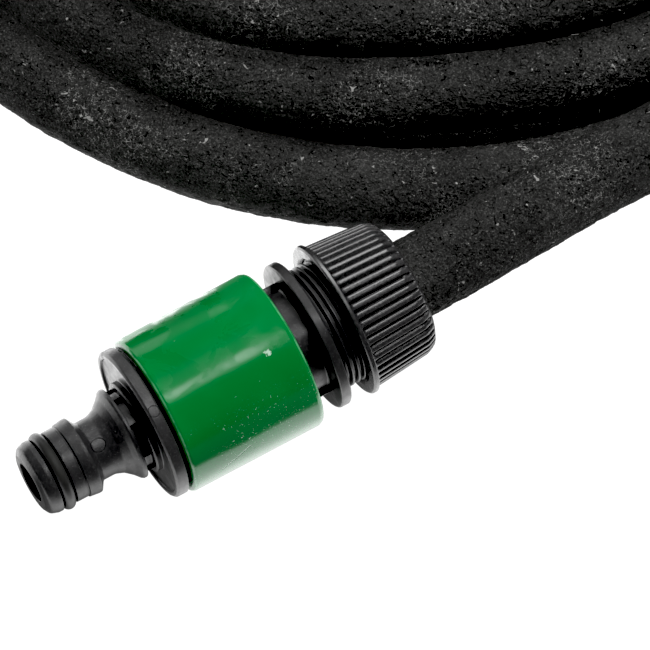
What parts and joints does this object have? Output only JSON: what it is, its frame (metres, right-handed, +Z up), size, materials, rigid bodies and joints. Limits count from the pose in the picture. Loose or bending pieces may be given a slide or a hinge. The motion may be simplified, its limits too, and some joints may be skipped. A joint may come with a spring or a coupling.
{
  "type": "soaker hose",
  "caption": "Coiled porous rubber soaker hose with a plug-in nose coupler and quick connector at the inlet, and a clamp-nut end stop at the free end.",
  "frame": {"origin": "middle of the underside of the bounding box, on the ground the coil lies on", "axes": "+Z up; +Y from the inlet fitting's side of the coil towards the far side; +X to the right seen from the inlet side. The coil winds counter-clockwise seen from above."},
  "size_m": [0.2846, 0.3522, 0.0524],
  "materials": {
    "barrel": "satin black injection-moulded plastic",
    "socket": "satin black injection-moulded plastic",
    "seal": "smooth black seal rubber",
    "stop_ring": "satin black injection-moulded plastic",
    "hose": "rough porous crumb rubber",
    "end_plug": "satin black injection-moulded plastic",
    "coupler": "satin black injection-moulded plastic",
    "oring_front": "smooth black seal rubber",
    "oring_rear": "smooth black seal rubber",
    "reducer_cage": "satin black injection-moulded plastic",
    "reducer_disc": "smooth black seal rubber",
    "sleeve": "glossy green plastic with fine scratches",
    "spring": "drawn steel wire",
    "claw_1": "satin black injection-moulded plastic",
    "claw_2": "satin black injection-moulded plastic",
    "claw_3": "satin black injection-moulded plastic",
    "clamp_ring_inlet": "satin black injection-moulded plastic",
    "nut_inlet": "satin black injection-moulded plastic",
    "clamp_ring_end": "satin black injection-moulded plastic",
    "nut_end": "satin black injection-moulded plastic"
  },
  "bodies": {
    "hose_line": {"connector_barrel": "barrel", "connector_socket": "socket", "barrel_seal": "seal", "sleeve_stop_ring": "stop_ring", "sleeve_spring": "spring", "soaker_hose": "hose", "end_plug": "end_plug"},
    "coupler": {"coupler_body": "coupler", "coupler_oring_front": "oring_front", "coupler_oring_rear": "oring_rear", "flow_reducer_cage": "reducer_cage", "flow_reducer_disc": "reducer_disc"},
    "sleeve": {"release_sleeve": "sleeve"},
    "claw_1": {"locking_claw_1": "claw_1"},
    "claw_2": {"locking_claw_2": "claw_2"},
    "claw_3": {"locking_claw_3": "claw_3"},
    "clamp_ring_inlet": {"clamp_ring_inlet": "clamp_ring_inlet"},
    "nut_inlet": {"ribbed_nut_inlet": "nut_inlet"},
    "clamp_ring_end": {"clamp_ring_end": "clamp_ring_end"},
    "nut_end": {"ribbed_nut_end": "nut_end"}
  },
  "joints": [
    {"name": "coupler_spin", "type": "hinge", "parent": "hose_line", "child": "coupler", "pos_m": [-0.05901, -0.15691, 0.01696], "axis": [0.8643, 0.4996, 0.059], "continuous": true},
    {"name": "release_slide", "type": "slide", "parent": "hose_line", "child": "sleeve", "axis": [0.8643, 0.4996, 0.059], "range_m": [0, 0.0036], "stiffness_N_per_m": 900, "springref_m": -0.004, "deforming": ["sleeve_spring"]},
    {"name": "claw_1_slide", "type": "slide", "parent": "hose_line", "child": "claw_1", "axis": [-0.3207, 0.4569, 0.8297], "range_m": [0, 0.0016]},
    {"name": "claw_2_slide", "type": "slide", "parent": "hose_line", "child": "claw_2", "axis": [0.496, -0.8658, 0.0659], "range_m": [0, 0.0016]},
    {"name": "claw_3_slide", "type": "slide", "parent": "hose_line", "child": "claw_3", "axis": [-0.1752, 0.4089, -0.8956], "range_m": [0, 0.0016]},
    {"name": "nut_inlet_travel", "type": "slide", "parent": "hose_line", "child": "clamp_ring_inlet", "axis": [0.8643, 0.4996, 0.059], "range_m": [-0.0042, 0.0042]},
    {"name": "nut_inlet_turn", "type": "hinge", "parent": "clamp_ring_inlet", "child": "nut_inlet", "pos_m": [-0.01268, -0.13013, 0.02013], "axis": [0.8643, 0.4996, 0.059], "range_deg": [-1080, 1080]},
    {"name": "nut_end_travel", "type": "slide", "parent": "hose_line", "child": "clamp_ring_end", "axis": [-0.848, 0.5299, 0], "range_m": [-0.0042, 0.0042]},
    {"name": "nut_end_turn", "type": "hinge", "parent": "clamp_ring_end", "child": "nut_end", "pos_m": [-0.02649, 0.00464, 0.01746], "axis": [-0.848, 0.5299, 0], "range_deg": [-1080, 1080]}
  ],
  "couplings": [
    {"joint": "claw_1_slide", "follows": "release_slide", "ratio": 0.444},
    {"joint": "claw_2_slide", "follows": "release_slide", "ratio": 0.444},
    {"joint": "claw_3_slide", "follows": "release_slide", "ratio": 0.444},
    {"joint": "nut_inlet_turn", "follows": "nut_inlet_travel", "rad_per_m": 4488},
    {"joint": "nut_end_turn", "follows": "nut_end_travel", "rad_per_m": 4488}
  ]
}
